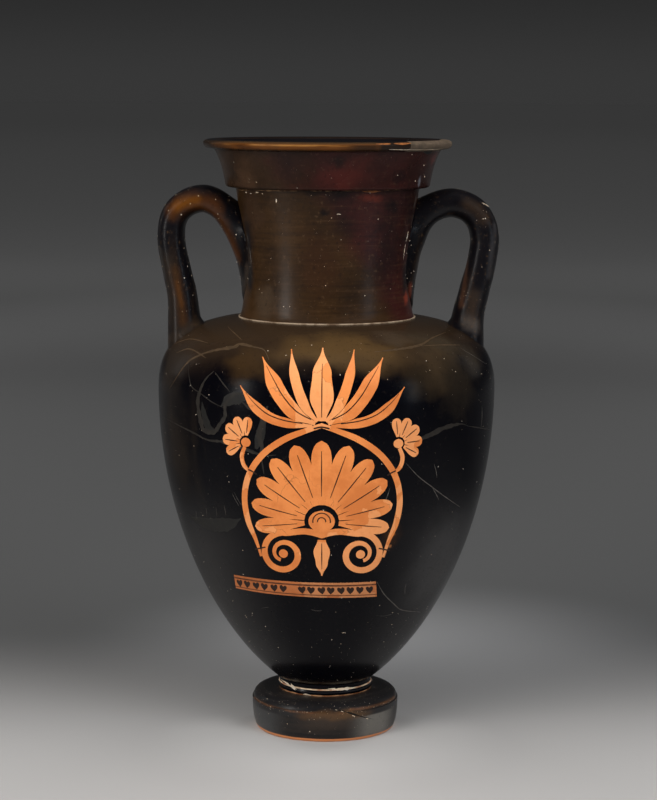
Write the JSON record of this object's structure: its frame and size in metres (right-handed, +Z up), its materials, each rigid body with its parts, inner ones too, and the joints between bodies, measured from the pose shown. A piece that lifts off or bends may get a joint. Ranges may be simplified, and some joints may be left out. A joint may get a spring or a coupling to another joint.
{
  "type": "two-handled neck amphora",
  "caption": "Black-gloss ceramic storage jar with an ovoid body, flared mouth, upright loop handles from neck to shoulder and a disc foot, with reserved orange ornament on its front.",
  "frame": {"origin": "centre of the foot's resting ring, on the wheel's axis, at the floor", "axes": "+Z up along the wheel's axis, +X towards the right handle, -Y towards the decorated front"},
  "size_m": [0.2307, 0.2264, 0.4],
  "materials": {
    "black_gloss": "black gloss slip, fired, softly shining",
    "brown_gloss": "thin brown-black gloss slip, turning red on one side",
    "reserved_clay": "bare fired clay, smoothed",
    "plaster_fill": "matt toned plaster"
  },
  "bodies": {
    "root": {"foot": "black_gloss", "foot_ring": "black_gloss", "lower_body": "black_gloss", "shoulder": "black_gloss", "neck_ring": "reserved_clay", "neck": "brown_gloss", "mouth": "brown_gloss", "lip_fill": "plaster_fill", "left_handle": "black_gloss", "right_handle": "black_gloss"}
  },
  "joints": []
}
